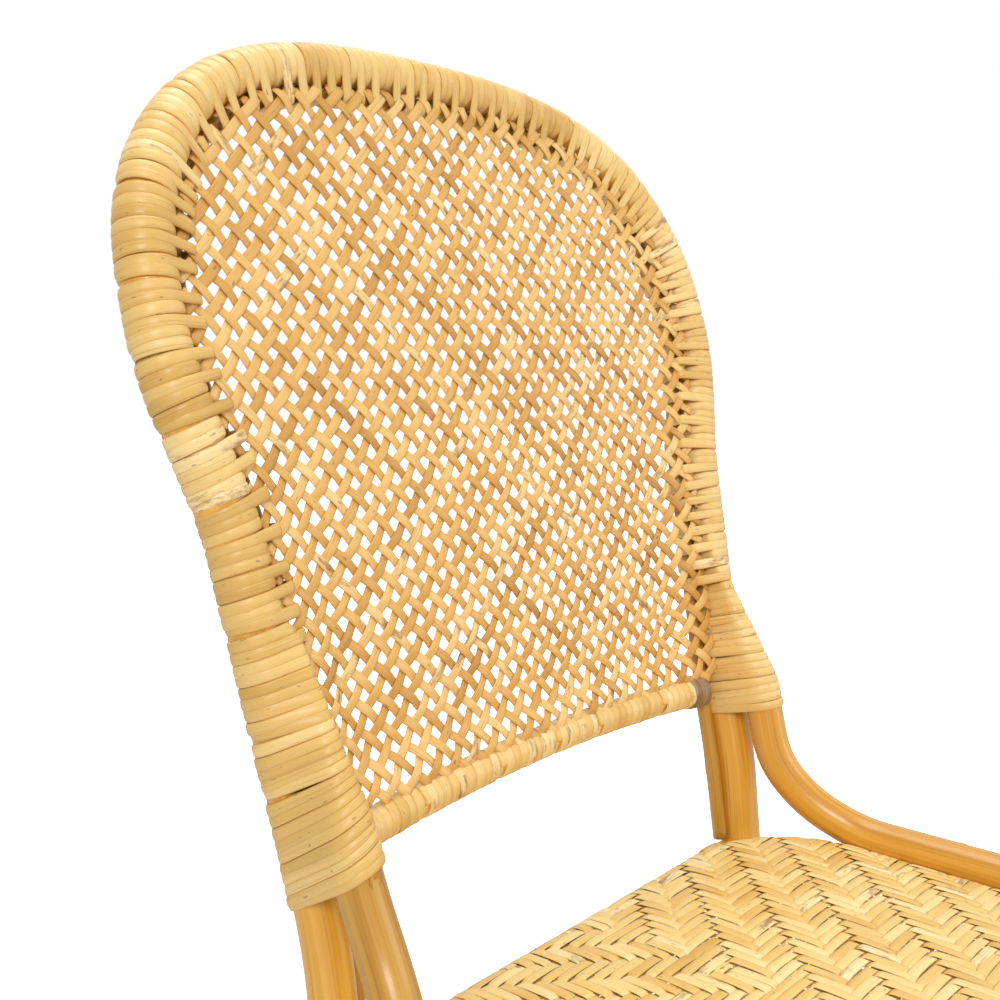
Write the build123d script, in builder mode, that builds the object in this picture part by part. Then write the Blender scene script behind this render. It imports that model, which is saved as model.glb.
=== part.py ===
# Cane back chair: a bent pole frame, a woven back panel and a woven seat.
# The chair faces -Y. Left and right are the sitter's, so left is +X.
from build123d import *
import os
from math import asin, atan2, ceil, cos, degrees, pi, radians, sin, sqrt, tan

os.makedirs("parts", exist_ok=True)

# Back outline, measured in the plane of the back from the middle of the panel
recline = 14.0
back_centre_height = 748.0
hoop_half_width = 218.5
hoop_widest_up = 42.0
hoop_rise = 152.3
hoop_roundness = 2.65
waist_half_width = 196.5
waist_down = 75.0
foot_of_back_half_width = 184.7
foot_of_back_down = 211.0
hoop_forward = 6.4
hoop_top_back = 14.0
hoop_foot_back = 5.4
hoop_side_shares = (0.11, 0.43, 0.74)
hoop_arch_angles = (1.5, 8, 18, 30, 43, 56, 68, 79)

# Poles and rods
hoop_pole_diameter = 26.0
inner_rod_diameter = 11.0
inner_rod_inward = 18.0
inner_rod_behind = 6.0
back_rail_diameter = 16.0
side_pole_diameter = 24.0
seat_ring_diameter = 20.0
seat_rail_diameter = 20.0
support_rod_diameter = 12.0
stretcher_diameter = 18.0

# Rear legs below the back: half width, distance in front of the back's centre, height
rear_leg_half_width = 183.0
rear_leg_knee_half_width = 184.0
rear_leg_foot_half_width = 188.0
rear_leg_bend_forward = 62.0
rear_leg_seat_forward = 70.0
rear_leg_knee_forward = 84.0
rear_leg_foot_forward = 55.0
rear_leg_bend_height = 498.0
rear_leg_seat_height = 435.0
rear_leg_knee_height = 318.0

# Side poles: brace, seat side and front leg in one
brace_top_down = 122.0
brace_top_half_width = 187.0
brace_foot_half_width = 180.0
brace_bend_start_forward = 96.2
brace_bend_start_height = 501.0
brace_bend_radius = 80.0
brace_spread_shares = (0.45, 0.95)
side_pole_half_width = 201.0
side_pole_straight_forward = 240.0
front_leg_forward = 495.0
front_leg_bend_radius = 75.0
front_foot_half_width = 206.0
front_foot_forward = 500.0

# Seat
seat_height = 455.0
seat_corner_radius = 72.0
seat_weave_thickness = 2.7
support_rod_spacing = 90.0
support_rod_drop = 2.0
ring_beside_arm_angle = 39.2
ring_beside_rail_angle = 64.3

# Back panel and wraps
cane_thickness = 3.6
panel_side_radius = 2875.0
panel_up_radius = 2226.0
cane_gap_side = 9.4
cane_gap_step = 15.4
cane_border = 3.0
rim_peel_thickness = 3.2
rim_rod_clearance = 1.0
rail_peel_thickness = 2.5
rail_middle_down = 205.0
rail_end_down = 212.0
rail_middle_back = 9.4
corner_strand_diameter = 3.0
corner_turn_pitch = 4.25
corner_turns = 24
brace_taper_length = 44.0
brace_tip_share = 0.05
tie_strand_diameter = 3.2
tie_turn_pitch = 4.4
tie_turns = 4
tie_from_rail_end = 12.0
joint_strand_diameter = 2.2
joint_turn_pitch = 2.9
joint_turns = 8
rear_joint_turns = 5
joint_strand_from_pole = 3.0

# Lower stretchers, fasteners and glides
stretcher_height = 205.0
cross_stretcher_forward = 290.0
screw_length = 45.0
ring_screw_length = 36.0
ring_screw_spread = 95.0
arm_screw_rear_forward = 215.0
arm_screw_front_forward = 390.0
brace_screw_down = 185.0
screw_shank_diameter = 3.6
screw_head_diameter = 7.0
screw_head_depth = 2.5
glide_height = 4.0
glide_diameter = 20.0
glide_edge = 1.0
glide_pin_diameter = 4.0
glide_pin_length = 14.0

# Fits
touch_gap = 0.3
overrun = 30.0
bend_share = 0.45
round_turn_share = 0.97
end_run_share = 0.5
points_per_turn = 24

# Sizes that follow
hoop_pole_radius = hoop_pole_diameter / 2
inner_rod_radius = inner_rod_diameter / 2
back_rail_radius = back_rail_diameter / 2
side_pole_radius = side_pole_diameter / 2
seat_ring_radius = seat_ring_diameter / 2
seat_rail_radius = seat_rail_diameter / 2
stretcher_radius = stretcher_diameter / 2
roll_inner_radius = seat_ring_radius + touch_gap
roll_radius = roll_inner_radius + seat_weave_thickness
rim_radius = hoop_pole_radius + rim_peel_thickness
rim_rod_radius = inner_rod_radius + rim_peel_thickness
rail_wrap_radius = back_rail_radius + touch_gap + rail_peel_thickness
hoop_top = hoop_widest_up + hoop_rise

hoop_top_depth = hoop_forward - hoop_top_back
rear_reach = sin(radians(recline)) * hoop_top - cos(radians(recline)) * hoop_top_depth + rim_radius
front_reach = front_foot_forward + side_pole_radius
back_y = (front_reach - rear_reach) / 2

back_plane = Plane(
    origin=(0, back_y, back_centre_height),
    x_dir=(1, 0, 0),
    z_dir=(0, -cos(radians(recline)), sin(radians(recline))),
)


def on_back(across, up, forward):
    """A place given across the back, up its slope and in front of its plane."""
    return back_plane.from_local_coords(Vector(across, up, forward))


def in_front(across, forward, height):
    """A place given across the chair, in front of the back's centre and above the floor."""
    return Vector(across, back_y - forward, height)


def run_to(start, end, share):
    """The place at a share of the way from start to end."""
    return start + (end - start) * share


def hoop_side(up):
    """Half width of the hoop pole's line below its widest height."""
    if up <= -waist_down:
        slope = (waist_half_width - foot_of_back_half_width) / (foot_of_back_down - waist_down)
        return waist_half_width + slope * (up + waist_down)
    share = (up + waist_down) / (hoop_widest_up + waist_down)
    return waist_half_width + (hoop_half_width - waist_half_width) * (3 - 2 * share) * share**2


def hoop_arch(angle):
    """Half width and height of the hoop pole's line above its widest height."""
    power = 2 / hoop_roundness
    across = hoop_half_width * cos(radians(angle)) ** power
    return across, hoop_widest_up + hoop_rise * sin(radians(angle)) ** power


def hoop_depth(up):
    """How far the hoop pole's line stands in front of the back's plane."""
    if up < 0:
        return hoop_forward - hoop_foot_back * (up / foot_of_back_down) ** 2
    return hoop_forward - hoop_top_back * (up / hoop_top) ** 2


def bend_radii(points):
    """The largest radius that each corner of a route has room for."""
    radii = []
    for before, here, after in zip(points, points[1:], points[2:]):
        turn = radians((here - before).get_angle(after - here))
        shorter = min((here - before).length, (after - here).length)
        radii.append(bend_share * shorter / tan(turn / 2))
    return radii


def sweep_pole(points, radius, radii=None):
    """Sweep a round pole along straight runs joined by tangent bends."""
    with BuildLine() as route:
        FilletPolyline(*points, radius=radii or bend_radii(points))
    with BuildSketch(Plane(origin=route.line @ 0, z_dir=route.line % 0)) as section:
        Circle(radius)
    sweep(section.sketch, path=route.line)
    return route.line


def straight_pole(start, end, radius):
    """A round pole from start to end."""
    with BuildSketch(Plane(origin=start, z_dir=end - start)) as section:
        Circle(radius)
    extrude(section.sketch, amount=(end - start).length)


def mirrored(points):
    """The same places on the other side of the chair."""
    return [Vector(-point.X, point.Y, point.Z) for point in points]


def check_volume(name, line, radius, piece):
    """Print a swept pole's volume beside its section times its length."""
    length = sum(edge.length for edge in line.edges())
    print(name, round(piece.part.volume), round(pi * radius**2 * length))


# Route of the hoop pole on the left side, from the foot to the top
side_ups = [-foot_of_back_down, -brace_top_down]
side_ups += [-waist_down + share * (hoop_widest_up + waist_down) for share in hoop_side_shares]
hoop_side_outline = [(hoop_side(up), up) for up in side_ups]
hoop_side_outline += [hoop_arch(angle) for angle in hoop_arch_angles]
hoop_crown = (0.0, hoop_top)
panel_half_outline = hoop_side_outline + [hoop_crown]

leg_points = [
    in_front(rear_leg_foot_half_width, rear_leg_foot_forward, 0),
    in_front(rear_leg_knee_half_width, rear_leg_knee_forward, rear_leg_knee_height),
    in_front(rear_leg_half_width, rear_leg_seat_forward, rear_leg_seat_height),
    in_front(rear_leg_half_width, rear_leg_bend_forward, rear_leg_bend_height),
]
hoop_side_points = [on_back(across, up, hoop_depth(up)) for across, up in hoop_side_outline]
crown_point = on_back(0, hoop_top, hoop_depth(hoop_top))
rear_leg_points = leg_points + hoop_side_points
hoop_route = rear_leg_points + [crown_point] + mirrored(rear_leg_points)[::-1]


def inward(outline, distance):
    """The outline of one side moved towards the middle, by one distance or by one for each place."""
    moved = []
    distances = distance if isinstance(distance, list) else [distance] * len(outline)
    for index, (across, up) in enumerate(outline):
        before = outline[max(index - 1, 0)]
        after = outline[index + 1] if index + 1 < len(outline) else (-before[0], before[1])
        along = Vector(after[0] - before[0], after[1] - before[1]).normalized()
        moved.append((across - along.Y * distances[index], up + along.X * distances[index]))
    return moved


# Places that the seat frame hangs on
def rear_leg_at(height):
    """The rear leg's line at a height between its knee and its bend at the seat."""
    share = (height - rear_leg_knee_height) / (rear_leg_seat_height - rear_leg_knee_height)
    return run_to(leg_points[1], leg_points[2], share)


def rear_foot_at(height):
    """The rear leg's line at a height below its knee."""
    return run_to(leg_points[0], leg_points[1], height / rear_leg_knee_height)


ring_height = seat_height - roll_radius
ring_to_arm = side_pole_radius + roll_radius + touch_gap
ring_to_rail = seat_rail_radius + roll_radius + touch_gap
arm_height = ring_height + ring_to_arm * sin(radians(ring_beside_arm_angle))
ring_half_width = side_pole_half_width - ring_to_arm * cos(radians(ring_beside_arm_angle))
rail_height = ring_height - ring_to_rail * cos(radians(ring_beside_rail_angle))
rear_rail_y = rear_leg_at(rail_height).Y
front_rail_y = back_y - front_leg_forward
ring_rear_y = rear_rail_y - ring_to_rail * sin(radians(ring_beside_rail_angle))
ring_front_y = front_rail_y + ring_to_rail * sin(radians(ring_beside_rail_angle))

# Route of the left side pole, from the brace's top to the front foot
brace_depth = hoop_pole_radius + side_pole_radius + touch_gap
brace_top = on_back(brace_top_half_width, -brace_top_down, hoop_depth(-brace_top_down) + brace_depth)
bend_start = in_front(brace_foot_half_width, brace_bend_start_forward, brace_bend_start_height)
brace_lean = atan2(brace_top.Y - bend_start.Y, brace_top.Z - bend_start.Z)
brace_bend_steps = len(brace_spread_shares) + 1
bend_turn = (pi / 2 - brace_lean) / brace_bend_steps
bend_run = 2 * brace_bend_radius * tan(bend_turn / 2)
side_pole_route = [brace_top, bend_start]
for step in range(1, brace_bend_steps):
    angle = brace_lean + step * bend_turn
    share = brace_spread_shares[step - 1]
    last = side_pole_route[-1]
    across = brace_foot_half_width + (side_pole_half_width - brace_foot_half_width) * share
    side_pole_route.append(Vector(across, last.Y - bend_run * sin(angle), last.Z - bend_run * cos(angle)))
side_pole_route[-1] = Vector(side_pole_route[-1].X, side_pole_route[-1].Y, arm_height)
side_pole_route += [
    in_front(side_pole_half_width, side_pole_straight_forward, arm_height),
    in_front(side_pole_half_width, front_leg_forward, arm_height),
    in_front(front_foot_half_width, front_foot_forward, 0),
]
side_pole_radii = bend_radii(side_pole_route)
side_pole_radii[-1] = front_leg_bend_radius


def front_leg_at(height):
    """The front leg's line at a height below its bend."""
    return run_to(side_pole_route[-1], side_pole_route[-2], height / arm_height)


# Screws: a start on the outer surface and a direction, all on the left side
def screw(target, direction, back_off):
    """A screw that starts a given way back from a place on its line."""
    way = direction.normalized()
    return target - way * back_off, way


stretcher_rear = rear_foot_at(stretcher_height)
stretcher_front = front_leg_at(stretcher_height)
rail_rear_end = rear_leg_at(rail_height)
rail_front_end = front_leg_at(rail_height)
stretcher_way = stretcher_front - stretcher_rear
cross_share = (back_y - cross_stretcher_forward - stretcher_rear.Y) / stretcher_way.Y
cross_end = run_to(stretcher_rear, stretcher_front, cross_share)
inwards = Vector(-1, 0, 0)
brace_share = (brace_screw_down - brace_top_down) / (foot_of_back_down - brace_top_down)
brace_place = run_to(brace_top, bend_start, brace_share)
behind = back_plane.z_dir * -1

leg_screws = [
    screw(rail_rear_end, inwards, hoop_pole_radius),
    screw(stretcher_rear, stretcher_way, hoop_pole_radius),
    screw(rail_front_end, inwards, side_pole_radius),
    screw(stretcher_front, stretcher_way * -1, side_pole_radius),
    screw(cross_end, inwards, stretcher_radius),
    screw(brace_place, behind, side_pole_radius),
]
arm_to_ring = Vector(-cos(radians(ring_beside_arm_angle)), 0, -sin(radians(ring_beside_arm_angle)))
arm_screws = [
    screw(in_front(side_pole_half_width, forward, arm_height), arm_to_ring, side_pole_radius)
    for forward in (arm_screw_rear_forward, arm_screw_front_forward)
]
long_screws = leg_screws + arm_screws
rail_to_ring = Vector(0, -sin(radians(ring_beside_rail_angle)), cos(radians(ring_beside_rail_angle)))
rail_to_ring_front = Vector(0, -rail_to_ring.Y, rail_to_ring.Z)
short_screws = [
    screw(Vector(ring_screw_spread, rear_rail_y, rail_height), rail_to_ring, seat_rail_radius),
    screw(Vector(ring_screw_spread, front_rail_y, rail_height), rail_to_ring_front, seat_rail_radius),
]


def both_sides(screws):
    """The screws and their mirror images on the chair's other side."""
    pairs = list(screws)
    for start, way in screws:
        pairs.append((Vector(-start.X, start.Y, start.Z), Vector(-way.X, way.Y, way.Z)))
    return pairs


def screw_solids(screws, length, mode):
    """Screws as a sunk head on a shank, added as pieces or cut as their holes."""
    outside = touch_gap if mode == Mode.SUBTRACT else 0
    for start, way in screws:
        with BuildSketch(Plane(origin=start - way * outside, z_dir=way)) as head:
            Circle(screw_head_diameter / 2)
        extrude(head.sketch, amount=screw_head_depth + outside, mode=mode)
        with BuildSketch(Plane(origin=start + way * screw_head_depth, z_dir=way)) as shank:
            Circle(screw_shank_diameter / 2)
        extrude(shank.sketch, amount=length - screw_head_depth, mode=mode)


def screw_holes():
    """Cut every screw's hole in the piece being built."""
    screw_solids(both_sides(long_screws), screw_length, Mode.SUBTRACT)
    screw_solids(both_sides(short_screws), ring_screw_length, Mode.SUBTRACT)


def glide_pins(mode):
    """Pins of the four glides, added with the glides or cut as their holes."""
    for foot in (leg_points[0], side_pole_route[-1]):
        for side in (1, -1):
            with BuildSketch(Plane.XY.offset(glide_height)) as pin:
                with Locations((side * foot.X, foot.Y)):
                    Circle(glide_pin_diameter / 2)
            extrude(pin.sketch, amount=glide_pin_length, mode=mode)


def level_foot():
    """Cut the legs level where they stand on their glides."""
    split(bisect_by=Plane.XY.offset(glide_height), keep=Keep.TOP)


pieces = {}

with BuildPart() as back_hoop_pole:
    hoop_line = sweep_pole(hoop_route, hoop_pole_radius)
    check_volume("hoop pole", hoop_line, hoop_pole_radius, back_hoop_pole)
    level_foot()
    hoop_solid = back_hoop_pole.part
    screw_holes()
    glide_pins(Mode.SUBTRACT)
pieces["back_hoop_pole"] = back_hoop_pole

# The inner rod stands inside the hoop and a little behind it, and ends on the rear seat rail
rod_outline = inward(panel_half_outline, inner_rod_inward)[:-1]
rod_side = [
    on_back(across, up, hoop_depth(hoop_up) - inner_rod_behind)
    for (across, up), (hoop_across, hoop_up) in zip(rod_outline, hoop_side_outline)
]
rod_offset = back_plane.x_dir * -inner_rod_inward - back_plane.z_dir * inner_rod_behind
rod_foot = rear_leg_at(rail_height + seat_rail_radius + touch_gap) + rod_offset
rod_foot = Vector(rod_foot.X, rod_foot.Y, rail_height + seat_rail_radius + touch_gap)
rod_side = [rod_foot, leg_points[3] + rod_offset] + rod_side
rod_crown = on_back(0, hoop_top - inner_rod_inward, hoop_depth(hoop_top) - inner_rod_behind)

with BuildPart() as inner_hoop_rod:
    rod_line = sweep_pole(rod_side + [rod_crown] + mirrored(rod_side)[::-1], inner_rod_radius)
    check_volume("inner rod", rod_line, inner_rod_radius, inner_hoop_rod)
pieces["inner_hoop_rod"] = inner_hoop_rod

# The brace's top is cut to a long taper that lies against the rear post
taper_start = run_to(brace_top, bend_start, brace_taper_length / (bend_start - brace_top).length)
taper_low = taper_start + back_plane.z_dir * side_pole_radius
taper_high = brace_top - back_plane.z_dir * side_pole_radius
taper_way = taper_low - taper_high
taper_plane = Plane(
    origin=(taper_low + taper_high) / 2,
    x_dir=back_plane.x_dir,
    z_dir=taper_way.cross(back_plane.x_dir),
)

with BuildPart() as left_side_pole:
    side_line = sweep_pole(side_pole_route, side_pole_radius, side_pole_radii)
    check_volume("side pole", side_line, side_pole_radius, left_side_pole)
    level_foot()
    with BuildSketch(taper_plane):
        Rectangle(side_pole_diameter + overrun, taper_way.length + overrun)
    extrude(amount=overrun, mode=Mode.SUBTRACT)
    screw_holes()
    glide_pins(Mode.SUBTRACT)
pieces["left_side_pole"] = left_side_pole

with BuildPart() as right_side_pole:
    mirror(left_side_pole.part, about=Plane.YZ)
pieces["right_side_pole"] = right_side_pole

# Seat ring and the weave that rolls over it
ring_middle_y = (ring_rear_y + ring_front_y) / 2
ring_plane = Plane(origin=(0, ring_middle_y, ring_height))
ring_width = 2 * ring_half_width
ring_depth = ring_rear_y - ring_front_y


def sweep_ring(outer, inner=None):
    """Sweep a round or hollow section once round the seat."""
    with BuildLine(ring_plane) as route:
        corners = [(0, -ring_depth / 2), (ring_width / 2, -ring_depth / 2), (ring_width / 2, ring_depth / 2)]
        corners += [(-ring_width / 2, ring_depth / 2), (-ring_width / 2, -ring_depth / 2)]
        radii = [0] + [seat_corner_radius] * 4
        FilletPolyline(*corners, radius=radii, close=True)
    with BuildSketch(Plane(origin=route.line @ 0, z_dir=route.line % 0)) as section:
        Circle(outer)
        if inner:
            Circle(inner, mode=Mode.SUBTRACT)
    sweep(section.sketch, path=route.line)


with BuildPart() as seat_ring_rod:
    sweep_ring(seat_ring_radius)
    ring_solid = seat_ring_rod.part
    screw_holes()
pieces["seat_ring_rod"] = seat_ring_rod

with BuildPart() as woven_seat:
    sweep_ring(roll_radius, roll_inner_radius)
    with BuildSketch(ring_plane.offset(-roll_radius - touch_gap)):
        RectangleRounded(ring_width, ring_depth, seat_corner_radius)
    extrude(amount=2 * (roll_radius + touch_gap), mode=Mode.SUBTRACT)
    with BuildSketch(ring_plane.offset(roll_inner_radius)):
        RectangleRounded(ring_width, ring_depth, seat_corner_radius)
    extrude(amount=seat_weave_thickness)
    screw_holes()
pieces["woven_seat"] = woven_seat

for name, place_share in (("right", -1), ("middle", 0), ("left", 1)):
    with BuildPart() as support:
        across = place_share * support_rod_spacing
        low = ring_height - support_rod_drop
        rear_end = Vector(across, ring_rear_y, low)
        front_end = Vector(across, ring_front_y, low)
        straight_pole(rear_end, front_end, support_rod_diameter / 2)
        add(ring_solid, mode=Mode.SUBTRACT)
        screw_holes()
    pieces[name + "_seat_support"] = support

# Rails and stretchers, shaped at their ends to the poles that they meet
with BuildPart() as rear_seat_rail:
    straight_pole(rail_rear_end, mirrored([rail_rear_end])[0], seat_rail_radius)
    add(hoop_solid, mode=Mode.SUBTRACT)
    screw_holes()
pieces["rear_seat_rail"] = rear_seat_rail

with BuildPart() as side_pole_blanks:
    sweep_pole(side_pole_route, side_pole_radius, side_pole_radii)
    mirror(about=Plane.YZ)
side_pole_solids = side_pole_blanks.part

with BuildPart() as front_seat_rail:
    straight_pole(rail_front_end, mirrored([rail_front_end])[0], seat_rail_radius)
    add(side_pole_solids, mode=Mode.SUBTRACT)
    screw_holes()
pieces["front_seat_rail"] = front_seat_rail

with BuildPart() as left_stretcher:
    straight_pole(stretcher_rear, stretcher_front, stretcher_radius)
    stretcher_blank = left_stretcher.part
    add(hoop_solid, mode=Mode.SUBTRACT)
    add(side_pole_solids, mode=Mode.SUBTRACT)
    screw_holes()
pieces["left_stretcher"] = left_stretcher

with BuildPart() as right_stretcher:
    mirror(left_stretcher.part, about=Plane.YZ)
pieces["right_stretcher"] = right_stretcher

with BuildPart() as cross_stretcher:
    straight_pole(cross_end, mirrored([cross_end])[0], stretcher_radius)
    add(stretcher_blank, mode=Mode.SUBTRACT)
    add(stretcher_blank.mirror(Plane.YZ), mode=Mode.SUBTRACT)
    screw_holes()
pieces["cross_stretcher"] = cross_stretcher

# Flat peel wound round the hoop and its inner rod, above the corner bindings
def outer_tangents(circles):
    """Corners of the band round a set of circles, and where it meets and leaves each circle."""
    corners = []
    normals = []
    for (here, radius), (after, next_radius) in zip(circles, circles[1:] + circles[:1]):
        way = (after - here).normalized()
        lean = (radius - next_radius) / (after - here).length
        side = Vector(way.Y, -way.X)
        normals.append(way * lean + side * sqrt(1 - lean**2))
    for index, (centre, radius) in enumerate(circles):
        before = normals[index - 1]
        after = normals[index]
        corner = centre + (before + after) * (radius / (1 + before.dot(after)))
        corners.append((corner, radius, centre + before * radius, centre + after * radius))
    return corners


rod_place = Vector(inner_rod_inward, -inner_rod_behind)
rim_way = rod_place.normalized()
rim_lean = (rim_radius - rim_rod_radius) / rod_place.length
rim_front = rim_way * rim_lean + Vector(-rim_way.Y, rim_way.X) * sqrt(1 - rim_lean**2)
rim_back = rim_way * rim_lean - Vector(-rim_way.Y, rim_way.X) * sqrt(1 - rim_lean**2)
rod_front = rod_place + rim_front * rim_rod_radius
rod_back = rod_place + rim_back * rim_rod_radius

def carried(points, normal):
    """The direction that a section's normal has after it is swept along a route."""
    for before, here, after in zip(points, points[1:], points[2:]):
        axis = Axis((0, 0, 0), (here - before).cross(after - here))
        normal = normal.rotate(axis, (here - before).get_angle(after - here))
    return normal


with BuildPart() as rim_wrap:
    wrap_points = hoop_side_points[1:]
    over_crown = crown_point - back_plane.x_dir * hoop_pole_radius
    wrap_half = wrap_points + [crown_point, over_crown]
    wrap_points = wrap_points + [crown_point] + mirrored(wrap_points)[::-1]
    with BuildLine() as wrap_route:
        FilletPolyline(*wrap_points, radius=bend_radii(wrap_points))
    start_way = wrap_route.line % 0
    wrap_start = Plane(origin=wrap_points[0], x_dir=back_plane.z_dir.cross(start_way), z_dir=start_way)
    # The section turns a little on its way to the crown, so half of that turn is taken off at the start
    crown_turn = carried(wrap_half, wrap_start.y_dir).get_signed_angle(back_plane.z_dir, -back_plane.x_dir)
    print("rim wrap turns at the crown by", round(crown_turn, 2))
    wrap_start = wrap_start.rotated((0, 0, crown_turn / 2))
    with BuildSketch(wrap_start) as wrap_section:
        with BuildLine():
            Line(rim_front * rim_radius, rod_front)
            ThreePointArc(rod_front, rod_place + rim_way * rim_rod_radius, rod_back)
            Line(rod_back, rim_back * rim_radius)
            ThreePointArc(rim_back * rim_radius, rim_way * -rim_radius, rim_front * rim_radius)
        make_face()
        Circle(hoop_pole_radius + touch_gap, mode=Mode.SUBTRACT)
        with Locations(rod_place):
            Circle(inner_rod_radius + rim_rod_clearance, mode=Mode.SUBTRACT)
    sweep(wrap_section.sketch, path=wrap_route.line)
pieces["rim_wrap"] = rim_wrap


def least_gap(line, diameter, turns):
    """The least gap between one turn of a winding and the next, measured on points."""
    steps = turns * points_per_turn
    places = [line @ (index / steps) for index in range(steps + 1)]
    nearest = min(
        (place - other).length
        for index, place in enumerate(places)
        for other in places[index + points_per_turn // 2 : index + 2 * points_per_turn]
    )
    return nearest - diameter


def wind(name, corners, radii, diameter, turns):
    """Sweep one unbroken strand through the corners of its turns and print its least gap."""
    with BuildLine() as route:
        FilletPolyline(*corners, radius=radii)
    with BuildSketch(Plane(origin=route.line @ 0, z_dir=route.line % 0)) as section:
        Circle(diameter / 2)
    sweep(section.sketch, path=route.line)
    print(name, "least gap", round(least_gap(route.line, diameter, turns), 2))


def wind_pole(name, start, way, radius, diameter, pitch, turns, square_to):
    """Wind a strand round one straight pole, from a place on its line along a direction."""
    plane = Plane(origin=start, x_dir=square_to, z_dir=way)
    reach = radius + touch_gap + diameter / 2
    corners = [
        plane.from_local_coords(Vector(reach * across, reach * up, pitch * (turn + quarter / 4)))
        for turn in range(turns)
        for quarter, (across, up) in enumerate(((1, 1), (-1, 1), (-1, -1), (1, -1)))
    ]
    corners[0] = run_to(corners[0], corners[1], end_run_share)
    corners[-1] = run_to(corners[-1], corners[-2], end_run_share)
    radii = [reach * round_turn_share] * (len(corners) - 2)
    wind(name, corners, radii, diameter, turns)


# Corner bindings: strand wound round post, inner rod and brace
brace_share_at_foot = (foot_of_back_down - brace_top_down) / (brace_top - bend_start).dot(back_plane.y_dir)
brace_slant = (brace_top - bend_start).normalized().dot(back_plane.y_dir)


def corner_circles(up):
    """Post, brace and rod across the binding, with the radius that the strand follows."""
    strand = touch_gap + corner_strand_diameter / 2
    across = hoop_side(up)
    depth = hoop_depth(up)
    taper = min(1, max(brace_tip_share, (-brace_top_down - up) / brace_taper_length))
    left_of_pole = side_pole_diameter * taper
    brace_radius = side_pole_radius
    brace_back = 0
    if left_of_pole < side_pole_radius:
        half_chord = sqrt(left_of_pole * (side_pole_diameter - left_of_pole))
        cut_share = 1 - left_of_pole / side_pole_radius
        brace_radius = half_chord * sqrt(1 + cut_share**2)
        brace_back = side_pole_radius - left_of_pole + half_chord * cut_share
    share = (-brace_top_down - up) / (foot_of_back_down - brace_top_down)
    brace_place = back_plane.to_local_coords(run_to(brace_top, bend_start, share * brace_share_at_foot))
    return [
        (Vector(across, depth), hoop_pole_radius + strand),
        (Vector(brace_place.X, brace_place.Z - brace_back), brace_radius / brace_slant + strand),
        (Vector(across - inner_rod_inward, depth - inner_rod_behind), inner_rod_radius + strand),
    ]


with BuildPart() as left_corner_binding:
    corners = []
    radii = []
    for turn in range(corner_turns):
        for third in range(3):
            turned_down = corner_strand_diameter / 2 + touch_gap + corner_turn_pitch * (turn + third / 3)
            up = -brace_top_down - turned_down
            place, radius, meets, leaves = outer_tangents(corner_circles(up))[third]
            if not corners:
                place = leaves
            if turn == corner_turns - 1 and third == 2:
                place = meets
            corners.append(on_back(place.X, up, place.Y))
            radii.append(radius * round_turn_share)
    wind("corner binding", corners, radii[1:-1], corner_strand_diameter, corner_turns)
pieces["left_corner_binding"] = left_corner_binding

with BuildPart() as right_corner_binding:
    mirror(left_corner_binding.part, about=Plane.YZ)
pieces["right_corner_binding"] = right_corner_binding

# Bottom rail of the back, its wrap and the tie at its left end
rail_end_across = hoop_side(-foot_of_back_down) - inner_rod_inward - inner_rod_radius
rail_end_across -= corner_strand_diameter + 3 * touch_gap
rail_end_depth = hoop_depth(-foot_of_back_down) - inner_rod_behind
rail_left_end = on_back(rail_end_across, -rail_end_down, rail_end_depth)
rail_middle = on_back(0, -rail_middle_down, -rail_middle_back)
rail_right_end = mirrored([rail_left_end])[0]


def sweep_rail(outer, inner=None, mode=Mode.ADD):
    """Sweep a round or hollow section along the bottom rail."""
    with BuildLine() as route:
        ThreePointArc(rail_left_end, rail_middle, rail_right_end)
    with BuildSketch(Plane(origin=route.line @ 0, z_dir=route.line % 0)) as section:
        Circle(outer)
        if inner:
            Circle(inner, mode=Mode.SUBTRACT)
    sweep(section.sketch, path=route.line, mode=mode)
    return route.line


with BuildPart() as bottom_back_rail:
    rail_line = sweep_rail(back_rail_radius)
pieces["bottom_back_rail"] = bottom_back_rail

with BuildPart() as rail_wrap:
    sweep_rail(rail_wrap_radius, back_rail_radius + touch_gap)
pieces["rail_wrap"] = rail_wrap

with BuildPart() as rail_tie:
    tie_share = tie_from_rail_end / (2 * rail_end_across)
    tie_start = rail_line @ tie_share
    tie_way = rail_line % tie_share
    wind_pole(
        "rail tie", tie_start, tie_way, rail_wrap_radius, tie_strand_diameter,
        tie_turn_pitch, tie_turns, back_plane.z_dir,
    )
pieces["rail_tie"] = rail_tie

# Bowed back panel: its sides come forward and its top and bottom go back
def panel_inset(across, up):
    """How far inside the hoop pole's line the panel meets the wrap of the inner rod."""
    inside = across - inner_rod_inward if across > inner_rod_inward else 0
    bow = inside**2 / (2 * panel_side_radius) - up**2 / (2 * panel_up_radius)
    above_rod = abs(bow - hoop_depth(up) + inner_rod_behind) - cane_thickness / 2
    reach = sqrt(max(rim_rod_radius**2 - max(above_rod, 0) ** 2, 0))
    return inner_rod_inward + reach + 2 * touch_gap


panel_insets = [panel_inset(across, up) for across, up in panel_half_outline]
panel_bottom = rail_middle_down - rail_wrap_radius - touch_gap
panel_sides = [place for place in inward(panel_half_outline, panel_insets)[:-1] if place[1] > -panel_bottom]
panel_foot_across = hoop_side(-panel_bottom) - panel_inset(hoop_side(-panel_bottom), -panel_bottom)
panel_left = [(panel_foot_across, -panel_bottom)] + panel_sides
panel_top = (0, hoop_top - panel_insets[-1])
panel_right = [(-across, up) for across, up in panel_left[::-1]]


def panel_half_width(up):
    """Half width of the panel at a height on the back."""
    for (across, low), (next_across, high) in zip(panel_left + [panel_top], panel_left[1:] + [panel_top]):
        if low <= up < high:
            return across + (next_across - across) * (up - low) / (high - low)
    return 0


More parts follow.
